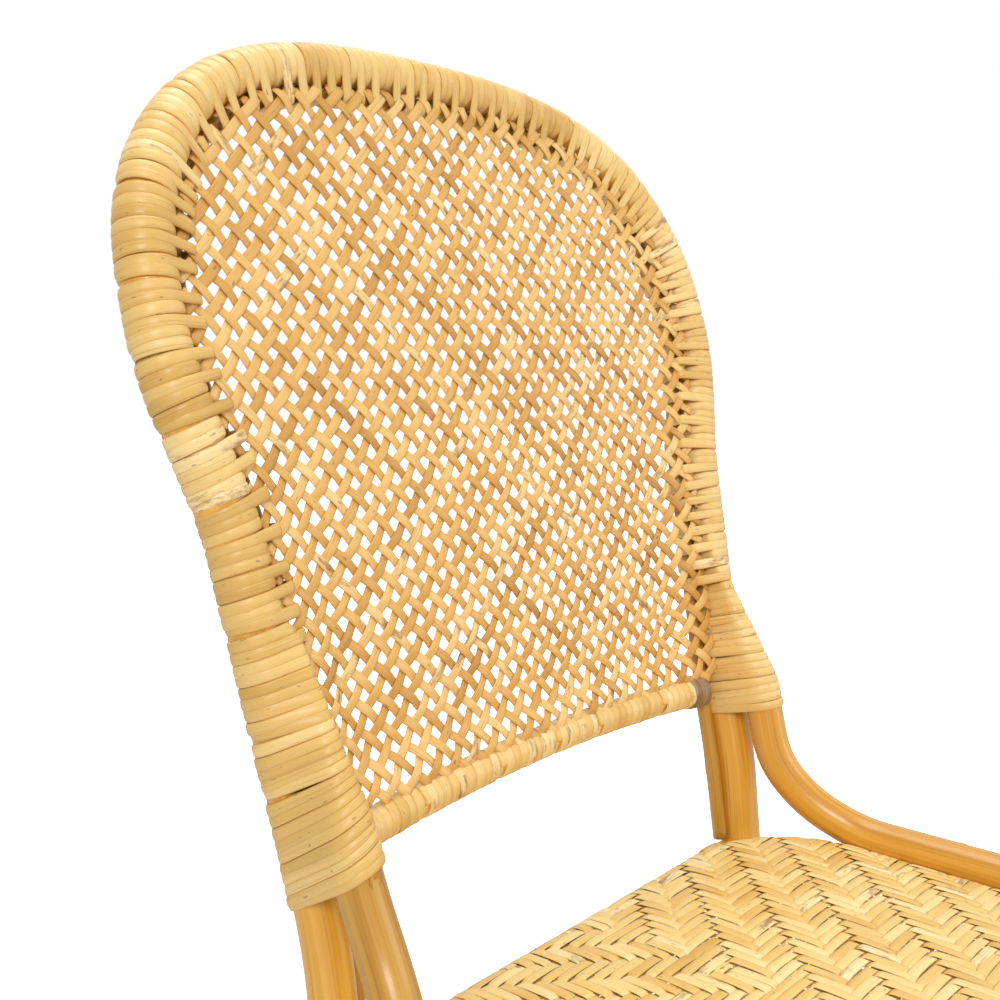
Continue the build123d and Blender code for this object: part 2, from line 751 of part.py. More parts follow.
gap_reach = cane_gap_side / sqrt(2) + cane_border
rows = ceil(hoop_top / cane_gap_step)
cane_gaps = []
for row in range(-rows, rows):
    for column in range(-rows, rows + 1):
        across = column * cane_gap_step
        up = row * cane_gap_step
        inside = abs(across) + gap_reach < min(panel_half_width(up), panel_half_width(up + gap_reach))
        if (row + column) % 2 == 0 and inside and up - gap_reach > -panel_bottom:
            cane_gaps.append((across, up))
print("gaps in the cane panel", len(cane_gaps))


def gap_outline(across, up):
    """A gap of the cane panel, square and set on its corner."""
    reach = cane_gap_side / sqrt(2)
    sides = [(across + reach, up), (across - reach, up)]
    return Wire.make_polygon([sides[0], (across, up + reach), sides[1], (across, up - reach)])


with BuildPart() as back_cane_panel:
    with BuildLine() as panel_edge:
        points = panel_left + [panel_top] + panel_right
        Spline(*points[1:-1])
        Line(points[0], points[1])
        Line(points[-2], points[-1])
        Line(points[-1], points[0])
    with BuildSketch(back_plane) as panel_net:
        add(Face(panel_edge.wire(), [gap_outline(across, up) for across, up in cane_gaps]))
    extrude(panel_net.sketch, amount=overrun, both=True)
    bow_angle = degrees(asin((hoop_top + overrun) / panel_up_radius))
    hub = back_plane.origin - back_plane.z_dir * panel_up_radius
    spin = Axis(hub, back_plane.x_dir)
    start_normal = back_plane.y_dir.rotate(Axis((0, 0, 0), back_plane.x_dir), -bow_angle)
    with BuildSketch(Plane(hub, x_dir=back_plane.x_dir, z_dir=start_normal)) as bow:
        with BuildLine():
            reach = hoop_half_width
            rise = panel_side_radius - sqrt(panel_side_radius**2 - reach**2)
            near = -panel_up_radius + cane_thickness / 2
            far = -panel_up_radius - cane_thickness / 2
            ThreePointArc((-reach, near - rise), (0, near), (reach, near - rise))
            Line((reach, near - rise), (reach, far - rise))
            ThreePointArc((reach, far - rise), (0, far), (-reach, far - rise))
            Line((-reach, far - rise), (-reach, near - rise))
        make_face()
    revolve(bow.sketch, axis=spin, revolution_arc=2 * bow_angle, mode=Mode.INTERSECT)
pieces["back_cane_panel"] = back_cane_panel

# Strand wound round the ends of the rails and stretchers
def bind_joint(name, corner, away, pole_radius, radius, turns):
    """Wind a strand next to a joint, from the crossing pole's surface outwards."""
    way = away.normalized()
    start = corner + way * (pole_radius + joint_strand_from_pole + joint_strand_diameter / 2)
    wind_pole(
        name, start, way, radius, joint_strand_diameter,
        joint_turn_pitch, turns, (way.cross(Vector(0, 0, 1))).cross(way),
    )


rod_reach = inner_rod_inward + inner_rod_radius
joint_bindings = {
    "rear_rail_bindings": [(rail_rear_end, inwards, rod_reach, seat_rail_radius, rear_joint_turns)],
    "front_rail_bindings": [(rail_front_end, inwards, side_pole_radius, seat_rail_radius, joint_turns)],
    "stretcher_bindings": [
        (stretcher_rear, stretcher_way, hoop_pole_radius, stretcher_radius, joint_turns),
        (stretcher_front, stretcher_way * -1, side_pole_radius, stretcher_radius, joint_turns),
    ],
    "cross_stretcher_bindings": [(cross_end, inwards, stretcher_radius, stretcher_radius, joint_turns)],
}
for name, joints in joint_bindings.items():
    with BuildPart() as bindings:
        for joint in joints:
            bind_joint(name, *joint)
        mirror(about=Plane.YZ)
    pieces[name] = bindings

# Screws and glides
with BuildPart() as frame_screws:
    screw_solids(both_sides(long_screws), screw_length, Mode.ADD)
pieces["frame_screws"] = frame_screws

with BuildPart() as ring_screws:
    screw_solids(both_sides(short_screws), ring_screw_length, Mode.ADD)
pieces["ring_screws"] = ring_screws

with BuildPart() as foot_glides:
    for foot in (leg_points[0], side_pole_route[-1]):
        with BuildSketch() as disc:
            with Locations((foot.X, foot.Y), (-foot.X, foot.Y)):
                Circle(glide_diameter / 2)
        extrude(disc.sketch, amount=glide_height)
    chamfer(foot_glides.faces().sort_by(Axis.Z)[:4].edges(), glide_edge)
    glide_pins(Mode.ADD)
pieces["foot_glides"] = foot_glides

for name, piece in pieces.items():
    piece.part.label = name
    export_step(piece.part, f"parts/{name}.step")
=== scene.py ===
"""Looks of the cane back chair: peel wraps, woven back and seat, poles, light and camera."""
import math

import bpy
import numpy as np
from mathutils import Matrix, Vector


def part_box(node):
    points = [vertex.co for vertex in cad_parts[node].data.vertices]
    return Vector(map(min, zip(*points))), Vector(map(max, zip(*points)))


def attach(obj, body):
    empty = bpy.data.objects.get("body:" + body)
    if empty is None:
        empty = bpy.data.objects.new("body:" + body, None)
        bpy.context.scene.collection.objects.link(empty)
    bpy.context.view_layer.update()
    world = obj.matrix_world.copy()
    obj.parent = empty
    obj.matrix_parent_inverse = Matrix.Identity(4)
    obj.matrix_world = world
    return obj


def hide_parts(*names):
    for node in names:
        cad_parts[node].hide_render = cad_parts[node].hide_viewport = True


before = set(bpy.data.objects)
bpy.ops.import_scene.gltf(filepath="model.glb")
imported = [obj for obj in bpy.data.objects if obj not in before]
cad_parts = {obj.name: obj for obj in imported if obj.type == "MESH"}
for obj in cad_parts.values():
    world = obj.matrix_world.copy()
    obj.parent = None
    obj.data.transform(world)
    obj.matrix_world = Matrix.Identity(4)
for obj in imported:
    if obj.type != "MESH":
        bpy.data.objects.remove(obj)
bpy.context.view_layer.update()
rng = np.random.default_rng(7)
TURN = 2 * math.pi

# The back's plane, as the frame has it
RECLINE = math.radians(14)
SIN, COS = math.sin(RECLINE), math.cos(RECLINE)
BACK_Y, BACK_Z = 0.22071, 0.748
# The hoop's line on that plane: its half widths, and how far up the slope each is
FOOT, FOOT_T = 0.1847, -0.211
WAIST, WAIST_T = 0.1965, -0.075
WIDE, WIDE_T = 0.2185, 0.042
RISE = 0.1523
TOP_T = WIDE_T + RISE


# ---------------------------------------------------------------- places and lines
def on_back(x, t, n):
    """World places from across, up the slope and forward of the back's plane."""
    x, t, n = np.broadcast_arrays(x, t, n)
    return np.stack([x, BACK_Y + SIN * t - COS * n, BACK_Z + COS * t + SIN * n], -1)


def to_back(p):
    """Across, up the slope and forward of a world place."""
    y, z = p[..., 1] - BACK_Y, p[..., 2] - BACK_Z
    return np.stack([p[..., 0], SIN * y + COS * z, SIN * z - COS * y], -1)


def in_front(x, f, z):
    """A world place f in front of the back's origin."""
    return np.array([x, BACK_Y - f, z])


def mirror(points):
    return np.asarray(points) * np.array([-1.0, 1, 1])


def smooth(share):
    """0 to 1 with soft ends."""
    share = np.clip(share, 0, 1)
    return share * share * (3 - 2 * share)


def hoop_side(t):
    """Half width of the hoop's side at a height."""
    t = np.asarray(t, float)
    share = np.clip((t - WAIST_T) / (WIDE_T - WAIST_T), 0, 1)
    slope = (WAIST - FOOT) / (WAIST_T - FOOT_T)
    low = WAIST + slope * (np.maximum(t, FOOT_T) - WAIST_T) + 0.035 * np.minimum(t - FOOT_T, 0)
    return np.where(t <= WAIST_T, low, WAIST + (WIDE - WAIST) * (3 - 2 * share) * share ** 2)


def hoop_depth(t):
    """How far the hoop's line is bowed forward of the plane at a height."""
    t = np.asarray(t, float)
    below = 0.0064 - 0.0054 * (t / 0.211) ** 2
    return np.where(t < 0, below, 0.0064 - 0.014 * (t / TOP_T) ** 2)


def unit(v):
    return v / np.linalg.norm(v, axis=-1, keepdims=True)


def run_along(points):
    """Distance along a line of points."""
    return np.concatenate([[0], np.cumsum(np.linalg.norm(np.diff(points, axis=0), axis=1))])


def inward(xt):
    """The direction towards the panel's middle along an outline that runs from foot to top."""
    way = unit(np.gradient(xt, axis=0))
    return np.stack([-way[:, 1], way[:, 0]], 1)


def even(points, step):
    """The points along a line, spread evenly."""
    points = np.asarray(points, float)
    run = run_along(points)
    at = np.linspace(0, run[-1], max(int(run[-1] / step), 2) + 1)
    return np.stack([np.interp(at, run, column) for column in points.T], 1)


def rounded(points, radii, steps=8):
    """A polyline with its corners turned into arcs."""
    out = [points[0]]
    for a, p, b, r in zip(points, points[1:], points[2:], radii):
        u, v = unit(a - p), unit(b - p)
        half_angle = math.acos(np.clip(u @ v, -1, 1)) / 2
        cut = r / math.tan(half_angle)
        centre = p + unit(u + v) * r / math.sin(half_angle)
        start, end = p + u * cut - centre, p + v * cut - centre
        sweep = math.pi - 2 * half_angle
        for q in (k / steps * sweep for k in range(steps + 1)):
            arm = start * math.sin(sweep - q) + end * math.sin(q)
            out.append(centre + arm / math.sin(sweep))
    out.append(points[-1])
    return np.array(out)


def own_radii(points, share=0.45):
    """Corner radii that use up a share of each corner's shorter side."""
    radii = []
    for a, p, b in zip(points, points[1:], points[2:]):
        u, v = p - a, b - p
        before, after = np.linalg.norm(u), np.linalg.norm(v)
        turn = math.acos(np.clip(u @ v / before / after, -1, 1))
        radii.append(share * min(before, after) / math.tan(turn / 2))
    return radii


# ---------------------------------------------------------------- materials
BLACK, WHITE = (0, 0, 0), (1, 1, 1)


def srgb(r, g, b):
    c = [k / 255 for k in (r, g, b)]
    return tuple(k / 12.92 if k <= 0.04045 else ((k + 0.055) / 1.055) ** 2.4 for k in c) + (1,)


class Nodes:
    """A short way to write node trees."""

    def __init__(self, name):
        self.mat = bpy.data.materials.new(name)
        self.mat.use_nodes = True
        self.tree = self.mat.node_tree
        self.shader = self.tree.nodes["Principled BSDF"]

    def add(self, kind, inputs=None, **props):
        node = self.tree.nodes.new(kind)
        for key, value in props.items():
            setattr(node, key, value)
        for key, value in (inputs or {}).items():
            self.put(node, key, value)
        return node

    def put(self, node, key, value):
        socket = node.inputs[key]
        if isinstance(value, bpy.types.NodeSocket):
            self.tree.links.new(value, socket)
        else:
            socket.default_value = value

    def strand_place(self):
        """Metres along a strand and across it."""
        return self.add("ShaderNodeUVMap", uv_map="run").outputs["UV"]

    def object_place(self):
        return self.add("ShaderNodeTexCoord").outputs["Object"]

    def noise(self, place, stretch, detail, rough):
        """Noise with one scale, or with a scale for each axis."""
        scale = stretch
        if isinstance(stretch, tuple):
            scale = 1
            place = self.add("ShaderNodeMapping", {"Vector": place, "Scale": stretch})
            place = place.outputs["Vector"]
        inputs = {"Vector": place, "Scale": scale, "Detail": detail, "Roughness": rough}
        return self.add("ShaderNodeTexNoise", inputs).outputs["Fac"]

    def ramp(self, fac, stops):
        node = self.add("ShaderNodeValToRGB", {"Fac": fac})
        ramp = node.color_ramp
        while len(ramp.elements) < len(stops):
            ramp.elements.new(0.5)
        for element, (at, colour) in zip(ramp.elements, stops):
            element.position = at
            element.color = colour if len(colour) == 4 else (*colour, 1)
        return node.outputs["Color"]

    def mix(self, fac, a, b):
        node = self.add("ShaderNodeMix", data_type="RGBA", blend_type="MIX")
        for socket, value in ((0, fac), (6, a), (7, b)):
            self.put(node, socket, value)
        return node.outputs[2]

    def math(self, op, a, b):
        node = self.add("ShaderNodeMath", operation=op)
        self.put(node, 0, a)
        self.put(node, 1, b)
        return node.outputs[0]

    def scaled(self, a, times, plus=None):
        product = self.math("MULTIPLY", a, times)
        return product if plus is None else self.math("ADD", product, plus)

    def weighted(self, *parts):
        """The sum of values, each times its weight."""
        *parts, total = [self.scaled(value, weight) for value, weight in parts]
        for part in reversed(parts):
            total = self.math("ADD", part, total)
        return total

    def finish(self, colour, rough, height, bump, coat=0.0, sss=0.0):
        self.put(self.shader, "Base Color", colour)
        self.put(self.shader, "Roughness", rough)
        relief = self.add("ShaderNodeBump", {"Height": height, "Distance": bump, "Strength": 0.6})
        self.put(self.shader, "Normal", relief.outputs["Normal"])
        self.put(self.shader, "Coat Weight", coat)
        self.put(self.shader, "Coat Roughness", 0.25)
        self.put(self.shader, "Subsurface Weight", sss)
        self.put(self.shader, "Subsurface Radius", (0.004, 0.002, 0.0008))
        return self.mat


def strand_material(name, tones, stain, stain_amount, rough=0.42, coat=0.15):
    """Flat rattan strand: lengthwise fibre, its own tone for each strand, stains, dark flecks."""
    n = Nodes(name)
    uv = n.strand_place()
    tone = n.add("ShaderNodeAttribute", attribute_name="tone").outputs["Fac"]
    fibre = n.noise(uv, (18, 1100, 1), 4, 0.65)
    band = n.noise(uv, (9, 60, 1), 2, 0.5)
    value = n.weighted((tone, 0.62), (fibre, 0.22), (band, 0.16))
    gap = 0.76 / (len(tones) - 1)
    base = n.ramp(value, [(0.12 + gap * k, srgb(*c)) for k, c in enumerate(tones)])
    # dark fibre lines
    lines = n.ramp(n.noise(uv, (10, 1700, 1), 2, 0.5), [(0.30, WHITE), (0.40, BLACK)])
    base = n.mix(n.scaled(lines, 0.30), base, srgb(*stain))
    # old, scarred places on the palest strands
    old = n.ramp(n.noise(uv, (42, 240, 1), 4, 0.7), [(0.50, BLACK), (0.62, WHITE)])
    where = n.math("GREATER_THAN", tone, 1 - stain_amount)
    base = n.mix(n.scaled(n.math("MULTIPLY", old, where), 0.75), base, srgb(*stain))
    fleck = n.ramp(n.noise(uv, (170, 700, 1), 1, 0.5), [(0.71, BLACK), (0.76, WHITE)])
    base = n.mix(n.scaled(fleck, 0.5), base, srgb(*[k * 0.6 for k in stain]))
    height = n.math("ADD", fibre, n.scaled(lines, -0.6))
    return n.finish(base, n.scaled(fibre, 0.25, rough - 0.12), height, 0.00022, coat, 0.04)


POLE_TONES = [(166, 102, 12), (202, 140, 32), (224, 164, 54), (236, 182, 78), (244, 202, 112)]
POLE_PIT = (126, 74, 20)


def pole_material(name, axis=None, dark=1.0):
    """Peeled and lacquered rattan pole: honey with fine grain along the run or along an axis."""
    n = Nodes(name)
    at = n.strand_place() if axis is None else n.object_place()

    def grain(along, across, thin=1):
        if axis is None:
            return along, across, thin
        return tuple(along if k == axis else across for k in "XYZ")
    wide = grain(3, 190)
    fine = n.noise(at, grain(7, 900), 3, 0.6)
    streak = n.noise(at, wide, 4, 0.6)
    cloud = n.noise(at, grain(2.2, 22), 2, 0.5)
    value = n.weighted((streak, 0.46), (fine, 0.26), (cloud, 0.28))
    stops = enumerate([srgb(*[c * dark for c in tone]) for tone in POLE_TONES])
    base = n.ramp(value, [(0.30 + 0.10 * k, colour) for k, colour in stops])
    pits = n.noise(at, tuple(k * 2.6 for k in wide), 1, 0.5)
    pits = n.ramp(pits, [(0.73, BLACK), (0.79, WHITE)])
    base = n.mix(n.scaled(pits, 0.45), base, srgb(*POLE_PIT))
    return n.finish(base, n.scaled(streak, 0.16, 0.26), fine, 0.00010, 0.35, 0.02)


def metal_material():
    """Antique brass of the screws."""
    n = Nodes("screw_metal")
    brushed = n.noise(n.object_place(), (900, 900, 120), 3, 0.6)
    n.put(n.shader, "Metallic", 1.0)
    colour = n.ramp(brushed, [(0.3, srgb(168, 118, 50)), (0.7, srgb(206, 156, 84))])
    return n.finish(colour, n.scaled(brushed, 0.3, 0.25), brushed, 0.00004)


def plastic_material():
    """Dark, scuffed plastic of the glides."""
    n = Nodes("glide_plastic")
    at = n.object_place()
    grain = n.noise(at, 1400, 3, 0.6)
    scuff = n.noise(at, (220, 30, 220), 4, 0.7)
    colour = n.ramp(scuff, [(0.35, srgb(40, 34, 28)), (0.75, srgb(84, 74, 62))])
    return n.finish(colour, n.scaled(scuff, 0.3, 0.4), grain, 0.00005)


# each strand's tones from dark to pale, its stain, and the share of strands that are stained
PEEL_TONES = [(192, 142, 58), (214, 170, 88), (230, 190, 112), (241, 207, 136), (251, 226, 168)]
CANE_TONES = [(190, 134, 54), (213, 160, 76), (229, 180, 98), (239, 197, 122), (247, 214, 150)]
SEAT_TONES = [(206, 156, 72), (230, 188, 102), (243, 207, 126), (250, 221, 148), (254, 236, 182)]
TIE_TONES = [(120, 92, 62), (138, 108, 76), (152, 122, 90), (166, 136, 102), (182, 152, 118)]
peel = strand_material("peel_strand", PEEL_TONES, (146, 88, 28), 0.12)
cane = strand_material("cane_strand", CANE_TONES, (128, 78, 26), 0.12)
seat_cane = strand_material("seat_strand", SEAT_TONES, (140, 86, 30), 0.10)
tie_mat = strand_material("tie_strand", TIE_TONES, (84, 60, 38), 0.2)
pole_mat = pole_material("pole_run")
# a darker copy of the pole colours: painted shade for the right side pole's brace, which stands in
# the post's shadow
pole_painted_shade = pole_material("pole_run_painted_shade", dark=0.88)
pole_x, pole_y = pole_material("pole_across", "X"), pole_material("pole_deep", "Y")
metal, plastic = metal_material(), plastic_material()


# ---------------------------------------------------------------- mesh builders
def build(name, strands, material, nodes):
    """One mesh from closed strands: (points n,m,3, run n,m+1,2 as uv, tone n)."""
    verts, faces, uvs, tones, caps = [], [], [], [], []
    base = 0
    for points, uv, tone in strands:
        n, m = points.shape[:2]
        verts.append(points.reshape(-1, 3))
        tones.append(np.repeat(np.broadcast_to(tone, (n,)), m))
        i, j = np.meshgrid(np.arange(n - 1), np.arange(m), indexing="ij")
        jn = (j + 1) % m
        quad = np.stack([i * m + j, i * m + jn, (i + 1) * m + jn, (i + 1) * m + j], -1)
        faces.append(quad.reshape(-1, 4) + base)
        corners = np.stack([uv[i, j], uv[i, j + 1], uv[i + 1, j + 1], uv[i + 1, j]], -2)
        uvs.append(corners.reshape(-1, 2))
        caps.append((list(range(base, base + m))[::-1], uv[0, 0]))
        caps.append((list(range(base + (n - 1) * m, base + n * m)), uv[-1, 0]))
        base += n * m
    verts, quads = np.concatenate(verts), np.concatenate(faces)
    loops = np.concatenate([quads.ravel()] + [np.array(cap) for cap, _ in caps])
    sizes = np.concatenate([np.full(len(quads), 4), [len(cap) for cap, _ in caps]])
    starts = np.concatenate([[0], np.cumsum(sizes)[:-1]])
    places = np.concatenate(uvs + [np.tile(at, (len(cap), 1)) for cap, at in caps])
    rounded_face = np.concatenate([np.ones(len(quads), bool), np.zeros(len(caps), bool)])

    mesh = bpy.data.meshes.new(name)
    mesh.vertices.add(len(verts))
    mesh.vertices.foreach_set("co", verts.astype(np.float32).ravel())
    mesh.loops.add(len(loops))
    mesh.loops.foreach_set("vertex_index", loops.astype(np.int32))
    mesh.polygons.add(len(sizes))
    mesh.polygons.foreach_set("loop_start", starts.astype(np.int32))
    mesh.polygons.foreach_set("loop_total", sizes.astype(np.int32))
    mesh.update(calc_edges=True)
    mesh.uv_layers.new(name="run").data.foreach_set("uv", places.astype(np.float32).ravel())
    attribute = mesh.attributes.new("tone", "FLOAT", "POINT")
    attribute.data.foreach_set("value", np.concatenate(tones).astype(np.float32))
    mesh.polygons.foreach_set("use_smooth", rounded_face)
    mesh.validate()
    obj = bpy.data.objects.new(name, mesh)
    bpy.context.scene.collection.objects.link(obj)
    mesh.materials.append(material)
    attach(obj, "root")
    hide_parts(*nodes)


def section(points, flat, low):
    """A flat strand's outline, across and high from -1 to 1; low is the underside's share."""
    a = np.arange(points) / points * TURN
    across = np.sign(np.cos(a)) * np.abs(np.cos(a)) ** flat
    high = np.sign(np.sin(a)) * np.abs(np.sin(a)) ** 0.8
    return across, np.where(high < 0, high * low, high)


def lay(surface, u, v, du, dv, width, thick, lift, tone, outline):
    """A strand laid on surface(u, v, h) along the line (u, v), as wide as (du, dv) points."""
    across, high = outline
    width, lift = [np.broadcast_to(k, u.shape)[:, None] for k in (width, lift)]
    uu = u[:, None] + du[:, None] * across * width / 2
    vv = v[:, None] + dv[:, None] * across * width / 2
    points = surface(uu, vv, lift + thick / 2 * high)
    run = run_along(points.mean(1))
    side = np.arange(len(across) + 1) / len(across) * 2 * width
    run = np.broadcast_to(run[:, None] + rng.uniform(0, 40), side.shape)
    return points, np.stack([run, side + rng.uniform(0, 40)], -1), tone


def tube(route, radius, sides, knots=()):
    """A round pole along a route, with low rings where the plant had its nodes."""
    route = np.asarray(route)
    way = unit(np.gradient(route, axis=0))
    side = np.array([1.0, 0, 0]) if abs(way[0][0]) < 0.8 else np.array([0, 1.0, 0])
    run = run_along(route)
    swell = np.zeros(len(route))
    for at in knots:
        swell += 0.0005 * np.exp(-((run - at) / 0.006) ** 2)
        swell -= 0.0006 * np.exp(-((run - at) / 0.0012) ** 2)
    angles = np.arange(sides)[:, None] / sides * TURN
    rows = []
    for p, w, r in zip(route, way, radius + swell):
        side = unit(side - w * (side @ w))
        rows.append(p + r * (np.cos(angles) * side + np.sin(angles) * np.cross(w, side)))
    around = np.arange(sides + 1) / sides * TURN * np.mean(radius)
    uv = np.broadcast_arrays(run[:, None] + rng.uniform(0, 9), around + rng.uniform(0, 9))
    return np.array(rows), np.stack(uv, -1), 0.5


# ---------------------------------------------------------------- hoop pole and inner rod
# over the crown the pole is thinner and stands further out and forward
CROWN_OUT, CROWN_FORWARD, CROWN_THINNER = 0.0056, 0.0021, 0.0030
# the inner rod inside the hoop's line and behind it, and how much closer it is over the crown
ROD_IN, ROD_BACK, ROD_CLOSER, ROD_FORWARD = 0.018, 0.006, 0.0085, 0.0030
ARCH_POWER = 2 / 2.65


def crown_share(t):
    """0 along the sides and 1 over the crown."""
    return smooth((np.asarray(t, float) - 0.125) / 0.055)


arch = np.radians(np.concatenate([np.linspace(0.4, 6, 6), np.linspace(8, 90, 42)]))
arch_x = WIDE * np.cos(arch).clip(0) ** ARCH_POWER
arch_xt = np.stack([arch_x, WIDE_T + RISE * np.sin(arch) ** ARCH_POWER], 1)
side_t = np.linspace(FOOT_T, WIDE_T, 60)
half = np.concatenate([np.stack([hoop_side(side_t), side_t], 1), arch_xt])

# The hoop follows the frame's own bends, from the left foot over the crown to the right foot
bends = [(float(hoop_side(t)), t) for t in (-0.211, -0.122, -0.0621, -0.0247, 0.0116)]
for a in np.radians((1.5, 8, 18, 30, 43, 56, 68, 79)):
    bends.append((WIDE * math.cos(a) ** ARCH_POWER, WIDE_T + RISE * math.sin(a) ** ARCH_POWER))
bends = np.array(bends)
LEG = [(0.188, 0.055, 0.004), (0.184, 0.084, 0.318), (0.183, 0.070, 0.435), (0.183, 0.0635, 0.498)]
legs = [in_front(*place) for place in LEG]
upper = on_back(bends[:, 0], bends[:, 1], hoop_depth(bends[:, 1]))
hoop_half = np.concatenate([legs, upper])
crown = on_back(0.0, TOP_T, float(hoop_depth(TOP_T)))
hoop_points = np.concatenate([hoop_half, [crown], mirror(hoop_half)[::-1]])
hoop_route = even(rounded(hoop_points, own_radii(hoop_points)), 0.005)
# The pole is thicker at its left end than at its right end
high = hoop_route[:, 2]
left_radius = np.interp(high, [0.36, 0.46, 0.54, 0.64], [0.0130, 0.0137, 0.0145, 0.0130])
right_radius = np.interp(high, [0.40, 0.46, 0.54, 0.64], [0.0130, 0.0118, 0.0117, 0.0130])
hoop_radius = np.where(hoop_route[:, 0] > 0, left_radius, right_radius)
hoop_local = to_back(hoop_route)
hoop_top = crown_share(hoop_local[:, 1])
hoop_local[:, :2] -= inward(hoop_local[:, :2]) * (CROWN_OUT * hoop_top)[:, None]
hoop_local[:, 2] += CROWN_FORWARD * hoop_top
hoop_route = on_back(*hoop_local.T)
hoop_radius = hoop_radius - CROWN_THINNER * hoop_top
hoop_tube = tube(hoop_route, hoop_radius, 32, (0.17, 0.41, 0.93, 1.27, 1.62, 1.98))
build("hoop_pole", [hoop_tube], pole_mat, ["back_hoop_pole"])

rod_top = crown_share(half[:, 1])
rod_xt = half + inward(half) * (ROD_IN - ROD_CLOSER * rod_top)[:, None]
rod_n = hoop_depth(half[:, 1]) - ROD_BACK + ROD_FORWARD * rod_top
rod_half = on_back(rod_xt[:, 0], rod_xt[:, 1], rod_n)
# the rod's foot stands on the rear rail and bends into the back's plane
rod_foot = [in_front(0.165, 0.0644, 0.4425), in_front(0.165, 0.0564, 0.498)]
rod_line = rounded(np.array(rod_foot + [rod_half[0], rod_half[3]]), [0.3, 0.3])
rod_half = np.concatenate([rod_line[:-1], rod_half[3:]])
rod_route = even(np.concatenate([rod_half, mirror(rod_half)[::-1][1:]]), 0.008)
rod_tube = tube(rod_route, 0.0050, 18, (0.05, 0.4, 0.8, 1.2))
build("inner_rod", [rod_tube], pole_material("pole_rod", dark=0.86), ["inner_hoop_rod"])

# ---------------------------------------------------------------- side poles
SIDE_R, HOOP_R = 0.012, 0.013
# height of the pole's level part along the seat
ARM_Z = 0.442 + (SIDE_R + HOOP_R + 0.0003) * math.sin(math.radians(39.2))
# the brace's top: where it ends, how long its taper is, and how far it leans in as it thins
BRACE_TOP_T, TAPER_T, TAPER_LONG, TAPER_IN = -0.122, -0.112, 0.095, 0.7
ARM_X, FRONT_X = 0.201, 0.206


def side_route():
    """Brace, seat side and front leg in one, on the left side."""
    n_top = float(hoop_depth(BRACE_TOP_T)) + 0.0253
    top = on_back(0.187, BRACE_TOP_T, n_top)
    start = in_front(0.180, 0.0962, 0.501)
    lean = math.atan2(top[1] - start[1], top[2] - start[2])
    turn = (math.pi / 2 - lean) / 3
    run = 2 * 0.080 * math.tan(turn / 2)
    route = [top, start]
    for step, share in ((1, 0.45), (2, 0.95)):
        a = lean + step * turn
        x = 0.180 + (ARM_X - 0.180) * share
        last = route[-1]
        route.append(np.array([x, last[1] - run * math.sin(a), last[2] - run * math.cos(a)]))
    route[-1][2] = ARM_Z
    route += [in_front(ARM_X, 0.240, ARM_Z), in_front(ARM_X, 0.495, ARM_Z)]
    route = np.array(route + [in_front(FRONT_X, 0.500, 0.004)])
    radii = own_radii(route)
    radii[-1] = 0.075
    return even(rounded(route, radii), 0.005)


def brace_radius(t):
    """The brace's radius at a height, where its top is cut to a taper."""
    return SIDE_R * np.clip((TAPER_T - t) / TAPER_LONG, 0.05, 1)


def tapered(route):
    """The side pole's line and radius, with the brace's top thinned against the post."""
    local = to_back(route)
    top = (local[:, 1] > -0.215) & (route[:, 2] > 0.5)
    radius = np.where(top, brace_radius(local[:, 1]), SIDE_R)
    gone = SIDE_R - radius
    local[:, 0] -= np.sign(local[:, 0]) * gone * TAPER_IN
    local[:, 2] -= gone
    return on_back(*local.T), radius


left_side = side_route()
# The right pole's bend was made a little further forward
right_side = mirror(left_side)
low_part = smooth((0.545 - right_side[:, 2]) / 0.06)
rear_part = smooth((0.26 - (BACK_Y - right_side[:, 1])) / 0.10)
right_side[:, 1] -= 0.006 * low_part * rear_part
left_tube = tube(*tapered(left_side), 30, (0.055, 0.37, 0.62, 0.90))
build("side_pole_left", [left_tube], pole_mat, ["left_side_pole"])
right_tube = tube(*tapered(right_side), 30, (0.06, 0.31, 0.57, 0.86))
# the right side pole takes the darker pole copy: painted shade where its brace stands in the post's
# shadow
build("side_pole_right", [right_tube], pole_painted_shade, ["right_side_pole"])

# ---------------------------------------------------------------- the CAD's own solids
SEAT_SUPPORTS = ["left_seat_support", "middle_seat_support", "right_seat_support"]
for material, names in (
        (pole_x, ["rear_seat_rail", "front_seat_rail", "cross_stretcher"]),
        (pole_y, ["left_stretcher", "right_stretcher", "seat_ring_rod"] + SEAT_SUPPORTS),
        (metal, ["frame_screws", "ring_screws"]),
        (plastic, ["foot_glides"])):
    for name in names:
        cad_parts[name].data.materials.clear()
        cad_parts[name].data.materials.append(material)

# ---------------------------------------------------------------- the wrap's surface
HULL = 72
# the corner bindings run between these heights
CORNER_T, WRAP_LOW_T = -0.150, -0.2262
EDGE_IN, EDGE_CLOSER = 0.0135, 0.0055
# what a long turn takes in besides the pole: inward, forward and radius at the sides, then
# how much each changes over the crown
LONG_TURN = (
    (ROD_IN, -ROD_BACK, 0.0058, -ROD_CLOSER, ROD_FORWARD, -0.0006),   # inner rod
    (0.0150, 0.0062, 0.0017, -0.0050, -0.0015, 0),                    # the net's edge
    (0.0215, 0.0046, 0.0015, -0.0080, -0.0010, 0),                    # the net's first crossings
)


def hull_outline(circles):
    """Even points and outward directions round some circles, from the far side of the pole."""
    a = np.linspace(0, TURN, 721)[:-1]
    d = np.stack([np.cos(a), np.sin(a)], 1)
    best = np.array([d @ np.array(c) + r for c, r in circles]).argmax(0)
    centre = np.array([c for c, _ in circles])[best]
    radius = np.array([r for _, r in circles])[best]
    p = np.roll(centre + d * radius[:, None], -np.argmin(np.abs(a - 3.9)), 0)
    p = np.vstack([p, p[:1]])
    run = run_along(p)
    at = np.linspace(0, run[-1], HULL + 1)
    q = np.stack([np.interp(at, run, column) for column in p.T], 1)
    normal = np.gradient(q, axis=0)
    normal[0] = normal[-1] = (normal[0] + normal[-1]) / 2
    return q, unit(np.stack([normal[:, 1], -normal[:, 0]], 1))


